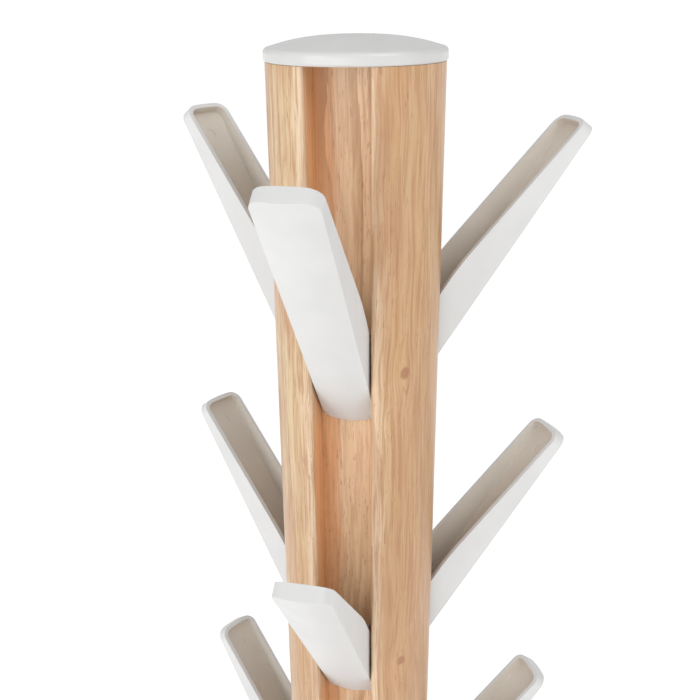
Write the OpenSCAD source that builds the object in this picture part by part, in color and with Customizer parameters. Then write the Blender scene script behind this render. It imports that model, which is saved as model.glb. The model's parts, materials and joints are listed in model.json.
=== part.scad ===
// Free-standing coat stand. Nine moulded hooks fold flush into three flutes of a round wooden post.
// Z = 0 is the floor, the post stands on the Z axis, and the front flute faces -Y.
// A hook is drawn in its own frame: X outward from the post, Y across the flute, Z up, pivot at 0.

/* [Post] */
// Diameter of the round post
post_d = 80; // [76:0.5:100]
// Length of the lower section, and of the middle one
section_len = 551; // [300:1:700]
// Plain length of the upper section below its hooks
below_hooks = 48.8; // [45:0.1:150]
// Width of a flute
flute_w = 28; // [24:0.1:34]
// Depth of a flute below the round surface
flute_depth = 21.5; // [20.5:0.1:24]
// Radius on the mouth edges of a flute
mouth_r = 1.6; // [1:0.1:3.5]

/* [Hooks] */
// Length of a hook from its tail to its tip
hook_len = 164.6; // [130:0.1:200]
// Length of the tail below the pivot
tail_len = 29; // [27:0.1:33]
// Depth of the pivot below the round surface
pivot_depth = 10.1; // [8.4:0.1:11]
// Tilt of a fully open hook from the upright
open_angle = 38; // [30:0.5:39]
// Tilts of the front hooks as drawn, from the top one down
front_tilts = [38, 36, 36]; // [0:0.5:39]
// Tilts of the right hooks as drawn
right_tilts = [36, 36, 37]; // [0:0.5:39]
// Tilts of the left hooks as drawn
left_tilts = [34, 36.5, 36]; // [0:0.5:39]
// Thickness of the moulded walls
hook_wall = 2.3; // [1.9:0.1:2.8]
// Depth of the side walls at the tip
tip_depth = 7.8; // [6.5:0.1:12]
// Height above the pivot at which the side walls start to taper
shoulder_h = 44.7; // [30:0.1:60]
// Corner radius at the tip
tip_corner_r = 6.5; // [4:0.1:8]
// Radius of the slightly rounded end of the tip
tip_end_r = 80; // [40:1:150]
// Corner radius at the tail
tail_corner_r = 6; // [3:0.1:8]
// Gap between a hook and each side wall of its flute
side_gap = 1; // [0.5:0.1:1.6]
// Gap between a folded hook and the flute floor
rim_gap = 1; // [0.5:0.1:2]
// Gap between an open hook's heel and the flute floor
heel_gap = 0.3; // [0.3:0.1:0.8]
// Gap between folded hooks of one flute
end_gap = 2.8; // [1.5:0.1:5]
// Gap between the cap and a folded top hook
top_gap = 2; // [1.5:0.1:5]

/* [Hinges] */
// Diameter of the pivot pin
pin_d = 4; // [3:0.1:4.8]
// Distance of each pin end from the side of its hook
pin_inset = 0.2; // [0.1:0.1:0.5]
// Radial running clearance of the pin in its bracket
pin_gap = 0.05; // [0.02:0.01:0.1]
// Gap between the bracket and the hook around it
bracket_gap = 0.4; // [0.3:0.1:0.8]
// Thickness of the bracket's base
bracket_t = 2.5; // [2:0.1:3]
// Length of the bracket along the flute
bracket_len = 32; // [29:0.5:34]
// Thickness of each ear of the bracket
ear_t = 4.5; // [3:0.1:6]
// Width of the slot that the pin snaps in through
snap_w = 3.5; // [3:0.1:3.8]
// Diameter of a bracket screw's shank
screw_d = 3.5; // [3:0.1:4.2]
// Length of a bracket screw
screw_len = 16; // [12:0.5:18]
// Distance between the two screws of a bracket
screw_pitch = 23; // [21:0.5:24]

/* [Base] */
// Diameter of the base plate
base_d = 400; // [330:1:480]
// Height of the base plate's top above the floor
base_top = 25; // [23:0.5:40]
// Height of the base plate's upright edge
edge_h = 6; // [4:0.5:9]
// Thickness of the domed shell
shell_t = 5; // [4:0.5:7]
// Width of the heavy ring under the edge
ring_w = 30; // [26:0.5:45]
// Radius of the boss under the post
boss_r = 52; // [48:0.5:65]
// Diameter of a foot
foot_d = 18; // [12:0.5:22]
// Height of a foot below the plate
foot_h = 3; // [2:0.5:5]
// Depth of a foot's pocket in the plate
foot_pocket = 1; // [0.5:0.1:1.5]
// Number of feet
foot_count = 6; // [4:1:8]

/* [Cap] */
// Overhang of the cap past the post
cap_overhang = 0.7; // [0.3:0.1:2]
// Height of the cap's upright rim
cap_rim_h = 6; // [4.5:0.1:8]
// Radius of the shoulder between the rim and the dome
cap_shoulder_r = 2.4; // [1:0.1:3]
// Rise of the cap's dome above its rim
dome_h = 4.8; // [3:0.1:9]
// Fullness of the dome, where 2 is a plain parabola and more is flatter on top
dome_fullness = 2.6; // [2:0.1:4]
// Thickness of the spigot's floor under the screw head
spigot_floor = 4; // [3.5:0.1:5]
// Diameter of the spigot under the cap
spigot_d = 27; // [22:0.5:32]
// Length of the spigot
spigot_len = 9; // [6:0.5:14]
// Diameter of the crown plug
plug_d = 16; // [13:0.5:20]
// Thickness of the crown plug
plug_t = 1.8; // [1.2:0.1:2.4]

/* [Fasteners] */
// Diameter of the studs and of the base bolt
stud_d = 10; // [8:0.5:12]
// Length of a stud
stud_len = 60; // [50:1:70]
// Outer diameter of a threaded insert
insert_d = 16; // [14:0.5:19]
// Length of a threaded insert
insert_len = 20; // [16:0.5:24]
// Depth of an insert below the end of its section
insert_inset = 0.5; // [0.2:0.1:2]
// Diameter of a locating dowel
dowel_d = 8; // [6:0.5:10]
// Length of a locating dowel
dowel_len = 40; // [30:1:50]
// Diameter of a base pin
base_pin_d = 6; // [5:0.5:8]
// Length of a base pin
base_pin_len = 24; // [20:1:28]
// Diameter of the washer under the bolt head
washer_d = 34; // [28:0.5:40]
// Thickness of that washer
washer_t = 2.5; // [1.5:0.1:3.5]
// Diameter of the bolt head
bolt_head_d = 16; // [15:0.5:19]
// Height of the bolt head
bolt_head_h = 7; // [6:0.5:8]
// Diameter of the cap screw's shank
cap_screw_d = 5; // [4:0.1:6]
// Length of the cap screw
cap_screw_len = 45; // [35:1:60]
// Height of the bolt's seat below the top of the base plate
bolt_seat = 10; // [8:0.5:12]

/* [Hidden] */
$fn = 96;
eps = 0.5;
stud_gap = 0.5;
stud_end_gap = 2;
spigot_end_gap = 2;
washer_gap = 1;
plug_ledge = 1.5;
edge_r = 3;
cap_rim_r = 1.2;
plug_gap = 0.15;
columns = ["front", "right", "left"];
levels = ["top", "middle", "low"];
post_r = post_d / 2;
floor_r = post_r - flute_depth;
pivot_r = post_r - pivot_depth;
pitch = hook_len + end_gap;
tip_h = hook_len - tail_len;
upper_len = len(levels) * pitch + below_hooks;
z_middle = base_top + section_len;
z_upper = z_middle + section_len;
z_top = z_upper + upper_len;
floor_x = floor_r - pivot_r;
tilts = [front_tilts, right_tilts, left_tilts];
hook_w = flute_w - 2 * side_gap;
trough_w = hook_w - 2 * hook_wall;
bracket_w = trough_w - 2 * bracket_gap;
rim_x = floor_x + rim_gap;
eye_limit = sqrt(pow(post_r - hook_wall, 2) - pow(bracket_w / 2, 2)) - pivot_r;
eye_r = eye_limit - 2 * bracket_gap;
rib_r = (floor_r + post_r) / 2;
rib_angles = [60, 180, 300];
clear_r = stud_d / 2 + stud_gap;
stud_hole = stud_len / 2 + stud_end_gap;
boss_z = base_top - bolt_seat;
bolt_len = bolt_seat + washer_t + stud_len / 2;
socket_d = 0.9 * stud_d;
socket_depth = 0.7 * bolt_head_h;
cap_r = post_r + cap_overhang;
dome_edge = cap_r - cap_shoulder_r;
cap_top = cap_rim_h + dome_h;
plug_seat = cap_top - plug_t;

// Points of an arc, given its centre, radius, first and last angle
function arc(x, y, r, a0, a1, n = 8) =
    [for (i = [0 : n]) let (a = a0 + (a1 - a0) * i / n) [x + r * cos(a), y + r * sin(a)]];

// Height of the base plate's domed top at radius r
function base_z(r) =
    let (r0 = boss_r, r1 = base_d / 2 - edge_r, z1 = foot_h + edge_h + edge_r)
    base_top - (base_top - z1) * pow(max(r - r0, 0) / (r1 - r0), 2);

// Height of a level's pivots
function pivot_z(level) = z_top - top_gap - tip_h - level * pitch;

// Points of the cap's dome from radius r0 in to the crown
function dome(r0, n = 12) =
    [for (i = [0 : n]) let (r = r0 * (1 - i / n)) [r, cap_top - dome_h * pow(r / dome_edge, dome_fullness)]];

// Puts a child drawn about its pivot in column c, level l
module at_pivot(c, l) {
    rotate([0, 0, 120 * c - 90]) translate([pivot_r, 0, pivot_z(l)]) children();
}

// A cylinder along Y, centred on the origin
module cross_cylinder(r, w) {
    rotate([90, 0, 0]) cylinder(r = r, h = w, center = true);
}

// Cross-section of the post: a circle with three flutes whose mouth edges are rounded
module post_outline() {
    edge_y = flute_w / 2 + mouth_r;
    edge_x = sqrt(pow(post_r - mouth_r, 2) - pow(edge_y, 2));
    out = (post_r + eps) / (post_r - mouth_r);
    difference() {
        circle(r = post_r);
        for (c = [0 : 2]) rotate(120 * c - 90) {
            translate([floor_r, -flute_w / 2]) square([flute_depth + eps, flute_w]);
            for (s = [-1, 1]) polygon([
                [edge_x, s * (flute_w / 2 - eps)],
                [edge_x, s * edge_y],
                [edge_x * out, s * edge_y * out],
                [post_r + eps, s * (flute_w / 2 - eps)]
            ]);
        }
    }
    for (c = [0 : 2], s = [-1, 1]) rotate(120 * c - 90) translate([edge_x, s * edge_y]) circle(r = mouth_r);
}

// Bore for an insert and a stud that goes on past it, entering upwards from z = 0
module stud_bore() {
    translate([0, 0, -eps]) cylinder(d = insert_d, h = insert_len + insert_inset + eps);
    cylinder(r = clear_r, h = stud_hole);
}

// Holes for dowels of length l at the ribs, reaching half their length up from z = 0
module rib_holes(d, l) {
    for (a = rib_angles) rotate([0, 0, a - 90]) translate([rib_r, 0, -eps]) cylinder(d = d, h = l / 2 + eps);
}

// One post section of length l with joint bores in its foot, and in its head if headed
module post_section(l, foot_pin_d, foot_pin_len, headed) {
    difference() {
        linear_extrude(l) post_outline();
        stud_bore();
        rib_holes(foot_pin_d, foot_pin_len);
        if (headed) translate([0, 0, l]) mirror([0, 0, 1]) {
            stud_bore();
            rib_holes(dowel_d, dowel_len);
        }
    }
}

// Countersunk screw with its head's face at x = 0, pointing along -X, with or without its cross recess
module wood_screw(d, l, recessed) {
    rotate([0, -90, 0]) difference() {
        union() {
            cylinder(r1 = d, r2 = d / 2, h = d / 2);
            cylinder(d = d, h = l - d);
            translate([0, 0, l - d]) cylinder(r1 = d / 2, r2 = d / 10, h = d);
        }
        if (recessed) for (a = [0, 90]) rotate([0, 0, a]) cube([d, d / 5, d], center = true);
    }
}

// Both screws of a bracket in place
module bracket_screw_pair(recessed) {
    for (s = [-1, 1]) translate([floor_x + bracket_t, 0, s * screw_pitch / 2])
        wood_screw(screw_d, screw_len, recessed);
}

// All the bracket screws, plain for cutting their holes, or with their cross recesses
module every_bracket_screw(recessed) {
    for (c = [0 : 2], l = [0 : 2]) at_pivot(c, l) bracket_screw_pair(recessed);
}

// Outline of a hook seen from outside, drawn inset by g: a rounded tail, and a tip whose end is an arc
module hook_face(g) {
    half = hook_w / 2 - g;
    tail_r = tail_corner_r - g;
    tip_r = tip_corner_r - g;
    end_r = tip_end_r - g;
    end_z = tip_h - tip_end_r;
    corner_z = end_z + sqrt(pow(end_r - tip_r, 2) - pow(half - tip_r, 2));
    lean = asin((half - tip_r) / (end_r - tip_r));
    polygon(concat(
        arc(half - tip_r, corner_z, tip_r, 0, 90 - lean),
        arc(0, end_z, end_r, 90 - lean, 90 + lean),
        arc(tip_r - half, corner_z, tip_r, 90 + lean, 180),
        arc(tail_r - half, g + tail_r - tail_len, tail_r, 180, 270),
        arc(half - tail_r, g + tail_r - tail_len, tail_r, 270, 360)
    ));
}

// The same outline as a block that reaches through the hook along X
module hook_block(g) {
    rotate([90, 0, 90]) translate([0, 0, -post_r]) linear_extrude(2 * post_r) hook_face(g);
}

// Side of a hook: its heel lies along the flute floor when the hook is open
module hook_side() {
    heel_x = floor_x + heel_gap;
    heel_tail_x = (heel_x + tail_len * sin(open_angle)) / cos(open_angle);
    heel_z = (heel_x - rim_x * cos(open_angle)) / sin(open_angle);
    polygon([
        [post_r, -tail_len],
        [heel_tail_x, -tail_len],
        [rim_x, heel_z],
        [rim_x, shoulder_h],
        [pivot_depth - tip_depth, tip_h],
        [post_r, tip_h]
    ]);
}

module hook(tilt) {
    color("whitesmoke") rotate([0, min(tilt, open_angle), 0]) difference() {
        intersection() {
            rotate([90, 0, 0]) linear_extrude(hook_w, center = true) hook_side();
            hook_block(0);
            translate([-pivot_r, 0, -tail_len - eps]) cylinder(r = post_r, h = hook_len + 2 * eps);
        }
        intersection() {
            hook_block(hook_wall);
            translate([-pivot_r, 0, -tail_len]) cylinder(r = post_r - hook_wall, h = hook_len);
        }
        cross_cylinder(pin_d / 2, hook_w + 2 * eps);
    }
}

module hinge_pin() {
    color("silver") cross_cylinder(pin_d / 2, hook_w - 2 * pin_inset);
}

module hinge_bracket() {
    color("gainsboro") difference() {
        union() {
            translate([floor_x, -bracket_w / 2, -bracket_len / 2]) cube([bracket_t, bracket_w, bracket_len]);
            for (s = [-1, 1]) translate([0, s * (bracket_w - ear_t) / 2, 0]) {
                cross_cylinder(eye_r, ear_t);
                translate([floor_x, -ear_t / 2, -eye_r]) cube([-floor_x, ear_t, 2 * eye_r]);
            }
        }
        cross_cylinder(pin_d / 2 + pin_gap, bracket_w + 2 * eps);
        translate([-snap_w / 2, -bracket_w, 0]) cube([snap_w, 2 * bracket_w, 2 * eye_r]);
        bracket_screw_pair(false);
    }
}

module bracket_screws() {
    color("silver") every_bracket_screw(true);
}

module base_plate() {
    top_r = base_d / 2 - edge_r;
    in_r = base_d / 2 - ring_w;
    steps = 16;
    rise = [for (i = [0 : steps]) let (r = top_r + (boss_r - top_r) * i / steps) [r, base_z(r)]];
    under = [for (i = [0 : steps]) let (r = boss_r + (in_r - boss_r) * i / steps) [r, base_z(r) - shell_t]];
    color("white") difference() {
        rotate_extrude() polygon(concat(
            [[0, foot_h], [boss_r, foot_h]],
            under,
            [[in_r, foot_h], [base_d / 2, foot_h]],
            arc(top_r, foot_h + edge_h, edge_r, 0, 75),
            rise,
            [[0, base_top]]
        ));
        translate([0, 0, -eps]) cylinder(r = clear_r, h = base_top + 2 * eps);
        translate([0, 0, -eps]) cylinder(r = washer_d / 2 + washer_gap, h = boss_z + eps);
        translate([0, 0, base_top]) mirror([0, 0, 1]) rib_holes(base_pin_d, base_pin_len);
        feet(foot_h + foot_pocket);
    }
}

// The ring of feet, from the floor to height h
module feet(h) {
    for (i = [0 : foot_count - 1]) rotate([0, 0, 360 * i / foot_count])
        translate([(base_d - ring_w) / 2, 0, 0]) cylinder(d = foot_d, h = h);
}

module base_feet() {
    color("dimgray") feet(foot_h + foot_pocket);
}

module base_washer() {
    color("silver") translate([0, 0, boss_z - washer_t]) difference() {
        cylinder(d = washer_d, h = washer_t);
        translate([0, 0, -eps]) cylinder(r = clear_r, h = washer_t + 2 * eps);
    }
}

module base_bolt() {
    color("silver") translate([0, 0, boss_z - washer_t]) {
        cylinder(d = stud_d, h = bolt_len);
        difference() {
            translate([0, 0, -bolt_head_h]) cylinder(d = bolt_head_d, h = bolt_head_h);
            translate([0, 0, -bolt_head_h - eps]) cylinder(d = socket_d, h = socket_depth, $fn = 6);
        }
    }
}

module base_pins() {
    color("silver") translate([0, 0, base_top - base_pin_len / 2]) rib_pins(base_pin_d, base_pin_len);
}

// Dowels of length l standing up from z = 0 at the ribs
module rib_pins(d, l) {
    for (a = rib_angles) rotate([0, 0, a - 90]) translate([rib_r, 0, 0]) cylinder(d = d, h = l);
}

module post_lower() {
    color("burlywood") translate([0, 0, base_top]) post_section(section_len, base_pin_d, base_pin_len, true);
}

module post_middle() {
    color("burlywood") translate([0, 0, z_middle]) post_section(section_len, dowel_d, dowel_len, true);
}

module post_upper() {
    color("burlywood") difference() {
        translate([0, 0, z_upper]) post_section(upper_len, dowel_d, dowel_len, false);
        translate([0, 0, z_top - spigot_len - spigot_end_gap])
            cylinder(d = spigot_d, h = spigot_len + spigot_end_gap + eps);
        cap_screw_body(false);
        every_bracket_screw(false);
    }
}

module threaded_insert() {
    difference() {
        cylinder(d = insert_d, h = insert_len);
        translate([0, 0, -eps]) cylinder(d = stud_d, h = insert_len + 2 * eps);
    }
}

module threaded_inserts() {
    color("goldenrod") {
        for (z = [base_top, z_middle, z_upper]) translate([0, 0, z + insert_inset]) threaded_insert();
        for (z = [z_middle, z_upper]) translate([0, 0, z - insert_inset - insert_len]) threaded_insert();
    }
}

module joint_studs() {
    color("silver") for (z = [z_middle, z_upper])
        translate([0, 0, z - stud_len / 2]) cylinder(d = stud_d, h = stud_len);
}

module joint_dowels() {
    color("tan") for (z = [z_middle, z_upper])
        translate([0, 0, z - dowel_len / 2]) rib_pins(dowel_d, dowel_len);
}

// The screw under the crown plug, through the cap's spigot into the post
module cap_screw_body(recessed) {
    translate([0, 0, z_top - spigot_len + spigot_floor]) rotate([0, -90, 0])
        wood_screw(cap_screw_d, cap_screw_len, recessed);
}

module cap_screw() {
    color("silver") cap_screw_body(true);
}

module top_cap() {
    color("white") translate([0, 0, z_top]) difference() {
        union() {
            rotate_extrude() polygon(concat(
                [[0, 0]],
                arc(cap_r - cap_rim_r, cap_rim_r, cap_rim_r, -90, 0),
                arc(dome_edge, cap_rim_h - cap_shoulder_r, cap_shoulder_r, 0, 75),
                dome(dome_edge)
            ));
            translate([0, 0, -spigot_len]) cylinder(d = spigot_d, h = spigot_len + eps);
        }
        translate([0, 0, spigot_floor - spigot_len])
            cylinder(r = plug_d / 2 - plug_ledge, h = spigot_len + cap_top);
        translate([0, 0, plug_seat]) cylinder(r = plug_d / 2 + plug_gap, h = plug_t + eps);
        translate([0, 0, -z_top]) cap_screw_body(false);
    }
}

module cap_plug() {
    color("lightgray") translate([0, 0, z_top]) rotate_extrude() polygon(concat(
        [[0, plug_seat], [plug_d / 2, plug_seat]],
        dome(plug_d / 2)
    ));
}

base_plate();
base_feet();
base_bolt();
base_washer();
base_pins();
post_lower();
post_middle();
post_upper();
threaded_inserts();
joint_studs();
joint_dowels();
top_cap();
cap_screw();
cap_plug();
bracket_screws();
for (c = [0 : 2], l = [0 : 2]) at_pivot(c, l) {
    name = str(columns[c], "_", levels[l]);
    hook(tilts[c][l]);
    hinge_pin();
    hinge_bracket();
}
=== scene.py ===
import json
import math

import bpy
import bmesh
from mathutils import Matrix, Vector


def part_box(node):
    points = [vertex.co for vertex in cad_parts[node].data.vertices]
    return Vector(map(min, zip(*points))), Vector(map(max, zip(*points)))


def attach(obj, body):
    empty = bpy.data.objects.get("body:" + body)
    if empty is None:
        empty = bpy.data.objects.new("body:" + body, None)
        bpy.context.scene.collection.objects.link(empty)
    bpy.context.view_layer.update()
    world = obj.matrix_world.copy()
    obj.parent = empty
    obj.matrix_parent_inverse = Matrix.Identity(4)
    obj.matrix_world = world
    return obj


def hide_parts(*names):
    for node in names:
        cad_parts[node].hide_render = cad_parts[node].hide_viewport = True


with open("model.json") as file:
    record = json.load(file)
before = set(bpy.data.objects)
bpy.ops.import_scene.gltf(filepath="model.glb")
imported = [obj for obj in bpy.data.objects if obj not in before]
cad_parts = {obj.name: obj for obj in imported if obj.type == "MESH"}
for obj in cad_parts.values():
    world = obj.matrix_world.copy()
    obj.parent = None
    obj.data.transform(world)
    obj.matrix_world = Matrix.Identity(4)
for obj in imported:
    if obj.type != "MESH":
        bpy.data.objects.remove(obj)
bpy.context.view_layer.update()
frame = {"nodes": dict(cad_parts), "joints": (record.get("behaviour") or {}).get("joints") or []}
for startup in ("Cube", "Light", "Camera"):
    if startup in bpy.data.objects:
        bpy.data.objects.remove(bpy.data.objects[startup])
print("frame loaded:", len(frame["nodes"]), "nodes")

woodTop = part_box("post_upper")[1].z
postRadius = 0.040

cameraValues = {
    "place": (0.0862, -0.4014, 0.0295),  # from the middle of the wood's top end
    "turn": (67.85, 0.49, 12.43),  # degrees about X, Y and Z
    "lens": 45.8,
    "sensor": 36.0,
    "clipStart": 0.02,
}


def placeCamera():
    c = cameraValues
    data = bpy.data.cameras.new("studioCamera")
    data.lens = c["lens"]
    data.sensor_width = c["sensor"]
    data.clip_start = c["clipStart"]
    camera = bpy.data.objects.new("studioCamera", data)
    bpy.context.scene.collection.objects.link(camera)
    camera.location = Vector(c["place"]) + Vector((0, 0, woodTop))
    camera.rotation_euler = [math.radians(angle) for angle in c["turn"]]
    bpy.context.scene.camera = camera


placeCamera()


mergeDistance = 0.00002  # points of a drawn outline nearer than this are one


def leaveAll():
    # back to object mode, with nothing selected
    if bpy.context.object and bpy.context.object.mode != "OBJECT":
        bpy.ops.object.mode_set(mode="OBJECT")
    bpy.ops.object.select_all(action="DESELECT")


def startLine(name, place):
    # a tiny plane merged to one point, from which a line is drawn
    leaveAll()
    bpy.ops.mesh.primitive_plane_add(size=mergeDistance, location=place)
    piece = bpy.context.active_object
    piece.name = name
    piece.data.name = name
    bpy.ops.object.transform_apply(location=True, rotation=True, scale=True)
    bpy.ops.object.mode_set(mode="EDIT")
    bpy.ops.mesh.select_mode(type="VERT")
    bpy.ops.mesh.select_all(action="SELECT")
    bpy.ops.mesh.merge(type="CENTER")
    return piece


def lineBy(x, y, z):
    bpy.ops.mesh.extrude_region_move(TRANSFORM_OT_translate={"value": (x, y, z)})


def arcBy(center, axis, degrees, steps):
    # spin runs against the right-hand rule, so the angle is turned round here
    bpy.ops.mesh.spin(steps=steps, angle=-math.radians(degrees), center=center, axis=axis)


def revolve(steps):
    bpy.ops.mesh.select_all(action="SELECT")
    bpy.ops.mesh.spin(steps=steps, angle=math.tau, center=(0, 0, 0), axis=(0, 0, 1))
    bpy.ops.mesh.select_all(action="SELECT")
    bpy.ops.mesh.remove_doubles(threshold=mergeDistance)
    bpy.ops.mesh.normals_make_consistent(inside=False)


def pickFaces(test):
    bpy.ops.mesh.select_mode(type="FACE")
    bpy.ops.mesh.select_all(action="DESELECT")
    mesh = bmesh.from_edit_mesh(bpy.context.object.data)
    for face in mesh.faces:
        if test(face):
            face.select_set(True)
    bmesh.update_edit_mesh(bpy.context.object.data)


def pickEdges(test):
    bpy.ops.mesh.select_mode(type="EDGE")
    bpy.ops.mesh.select_all(action="DESELECT")
    mesh = bmesh.from_edit_mesh(bpy.context.object.data)
    mesh.normal_update()
    for edge in mesh.edges:
        if len(edge.link_faces) == 2 and test(edge):
            edge.select_set(True)
    bmesh.update_edit_mesh(bpy.context.object.data)


def pickPoints(test):
    bpy.ops.mesh.select_mode(type="VERT")
    bpy.ops.mesh.select_all(action="DESELECT")
    mesh = bmesh.from_edit_mesh(bpy.context.object.data)
    for point in mesh.verts:
        if test(point.co):
            point.select_set(True)
    mesh.select_flush(True)
    bmesh.update_edit_mesh(bpy.context.object.data)


def cutPlane(place, normal, removeOuter):
    bpy.ops.mesh.select_mode(type="VERT")
    bpy.ops.mesh.select_all(action="SELECT")
    # with removeOuter, what lies on the normal's side goes and the cut is closed
    bpy.ops.mesh.bisect(plane_co=place, plane_no=normal, use_fill=removeOuter, clear_outer=removeOuter)


def soften(width, segments):
    bpy.ops.mesh.bevel(offset=width, segments=segments, profile=0.5, affect="EDGES", clamp_overlap=True)


def applyModifier(piece, kind, **settings):
    leaveAll()
    piece.select_set(True)
    bpy.context.view_layer.objects.active = piece
    modifier = piece.modifiers.new(kind.lower(), kind)
    for name, value in settings.items():
        setattr(modifier, name, value)
    bpy.ops.object.modifier_apply(modifier=modifier.name)


def carve(piece, cutter):
    applyModifier(piece, "BOOLEAN", operation="DIFFERENCE", solver="EXACT", object=cutter)
    bpy.data.objects.remove(cutter)


def smoothPiece(piece, degrees):
    leaveAll()
    piece.select_set(True)
    bpy.context.view_layer.objects.active = piece
    bpy.ops.object.shade_smooth_by_angle(angle=math.radians(degrees))
    applyModifier(piece, "WEIGHTED_NORMAL", keep_sharp=True, weight=60)


def settle(piece, materials, body, node):
    # a finished piece takes a CAD node's place, on that node's body
    for material in materials:
        if material.name not in piece.data.materials:
            piece.data.materials.append(material)
    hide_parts(node)
    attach(piece, body)


class Nodes:
    # a few shorthands for building a material's node tree
    def __init__(self, name):
        self.material = bpy.data.materials.new(name)
        self.material.use_nodes = True
        self.tree = self.material.node_tree
        self.shader = self.tree.nodes["Principled BSDF"]
        self.place = self.add("ShaderNodeTexCoord").outputs["Object"]

    def add(self, kind, **settings):
        node = self.tree.nodes.new(kind)
        for name, value in settings.items():
            setattr(node, name, value)
        return node

    def feed(self, node, socket, value):
        if isinstance(value, bpy.types.NodeSocket):
            self.tree.links.new(value, node.inputs[socket])
        else:
            node.inputs[socket].default_value = value

    def axis(self, name):
        node = self.add("ShaderNodeSeparateXYZ")
        self.feed(node, "Vector", self.place)
        return node.outputs[name]

    def stretch(self, scale, shift=(0, 0, 0), source=None):
        node = self.add("ShaderNodeMapping")
        self.feed(node, "Vector", source or self.place)
        self.feed(node, "Scale", scale)
        self.feed(node, "Location", shift)
        return node.outputs["Vector"]

    def noise(self, source, scale, detail=2.0, roughness=0.5):
        node = self.add("ShaderNodeTexNoise")
        self.feed(node, "Vector", source)
        self.feed(node, "Scale", scale)
        self.feed(node, "Detail", detail)
        self.feed(node, "Roughness", roughness)
        return node.outputs["Fac"]

    def math(self, operation, a, b=0.0, c=0.0):
        node = self.add("ShaderNodeMath", operation=operation)
        self.feed(node, 0, a)
        self.feed(node, 1, b)
        self.feed(node, 2, c)
        return node.outputs[0]

    def vector(self, operation, a, b=(0, 0, 0)):
        node = self.add("ShaderNodeVectorMath", operation=operation)
        self.feed(node, 0, a)
        self.feed(node, 1, b)
        return node.outputs["Value" if operation == "LENGTH" else "Vector"]

    def scaleBy(self, vector, factor):
        node = self.add("ShaderNodeVectorMath", operation="SCALE")
        self.feed(node, 0, vector)
        self.feed(node, "Scale", factor)
        return node.outputs["Vector"]

    def ramp(self, source, low, high, lowTo=0.0, highTo=1.0):
        node = self.add("ShaderNodeMapRange", interpolation_type="SMOOTHSTEP")
        self.feed(node, "Value", source)
        self.feed(node, "From Min", low)
        self.feed(node, "From Max", high)
        self.feed(node, "To Min", lowTo)
        self.feed(node, "To Max", highTo)
        return node.outputs["Result"]

    def mix(self, factor, a, b):
        node = self.add("ShaderNodeMix", data_type="RGBA")
        self.feed(node, "Factor", factor)
        self.feed(node, "A", a if isinstance(a, bpy.types.NodeSocket) else (*a, 1.0))
        self.feed(node, "B", b if isinstance(b, bpy.types.NodeSocket) else (*b, 1.0))
        return node.outputs["Result"]

    def bump(self, height, strength, distance):
        node = self.add("ShaderNodeBump")
        self.feed(node, "Height", height)
        self.feed(node, "Strength", strength)
        self.feed(node, "Distance", distance)
        self.tree.links.new(node.outputs["Normal"], self.shader.inputs["Normal"])

    def finish(self, color, roughness, **sockets):
        self.feed(self.shader, "Base Color", color)
        self.feed(self.shader, "Roughness", roughness)
        for name, value in sockets.items():
            self.shader.inputs[name.replace("_", " ")].default_value = value
        return self.material


woodValues = {
    "pale": (0.670, 0.500, 0.295),
    "honey": (0.560, 0.335, 0.162),
    "blush": (0.590, 0.355, 0.205),
    "floorLightTone": (0.920, 0.670, 0.440),  # painted light on the middle of a flute's floor
    "floorLightStrength": 0.80,
    "cornerShadeTone": (0.800, 0.400, 0.175),  # painted shade, warmed by bounce light, on one wall and corner of a flute
    "cornerShadeStrength": 0.80,
    "mouthHighlight": (0.860, 0.700, 0.520),  # painted highlight along the flutes' mouths
    "mouthHighlightStrength": 0.60,
    "rose": (0.530, 0.290, 0.140),
    "ring": (0.420, 0.205, 0.090),
    "pore": (0.300, 0.130, 0.055),
    "knot": (0.340, 0.130, 0.060),
    "shadeToRight": 5.0,  # painted shade: tone per metre, paler on the lit left side and darker towards the right
    "deeperBelow": 0.45,
    "deeperFrom": 0.08,  # below the wood's top
    "deeperTo": 0.32,
    "ringWidth": 0.0062,
    "ringStretch": 0.022,  # how fast the rings narrow along the post
    "pith": (-0.070, 0.048, 0.0),
    "sway": 0.0034,
    "drift": 0.030,
    "ripple": 0.0042,
    "streaks": 0.55,  # how strongly each layer of the figure shows
    "lines": 0.52,
    "fibres": 0.50,
    "highlights": 0.30,
    "pores": 0.50,
    "knots": 0.72,
    "knotReach": 0.011,
    "knotPull": 0.62,
    "knotEdge": (0.0026, 0.0044),
    "bumpStrength": 0.16,
    "bumpDepth": 0.0003,
    "roughness": 0.42,
    "coat": 0.30,
    # ramps over a flute's section: out from the post's axis, and aside from the flute's middle
    "floorOut": (0.0360, 0.0335),
    "floorAside": (0.0162, 0.0148),
    "cornerAside": (-0.0035, -0.0085),
    "mouthOut": (0.0325, 0.0345),
    "mouthAside": (0.0225, 0.0155),
    "pinKnots": [(-44.5, 0.1357), (-44.0, 0.3027)],  # degrees round the post, and metres below its top
}


def gatherGrain(n, knots):
    # the grain parts around a knot: points near it are drawn in towards its middle
    w = woodValues
    place = n.place
    knotMask = 0.0
    for angle, drop in knots:
        turn = math.radians(angle)
        center = (postRadius * math.cos(turn), postRadius * math.sin(turn), woodTop - drop)
        offset = n.vector("SUBTRACT", n.place, center)
        away = n.vector("LENGTH", n.vector("MULTIPLY", offset, (1.0, 1.0, 0.45)))
        pull = n.ramp(away, 0.0, w["knotReach"], w["knotPull"], 0.0)
        place = n.vector("SUBTRACT", place, n.scaleBy(offset, pull))
        near = n.vector("LENGTH", n.vector("MULTIPLY", offset, (1.0, 1.0, 0.85)))
        wobble = n.math("ADD", near, n.math("MULTIPLY", n.noise(n.place, 420.0), 0.0022))
        mask = n.ramp(wobble, *w["knotEdge"], 1.0, 0.0)
        knotMask = n.math("MAXIMUM", knotMask, mask)
    return place, knotMask


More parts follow.
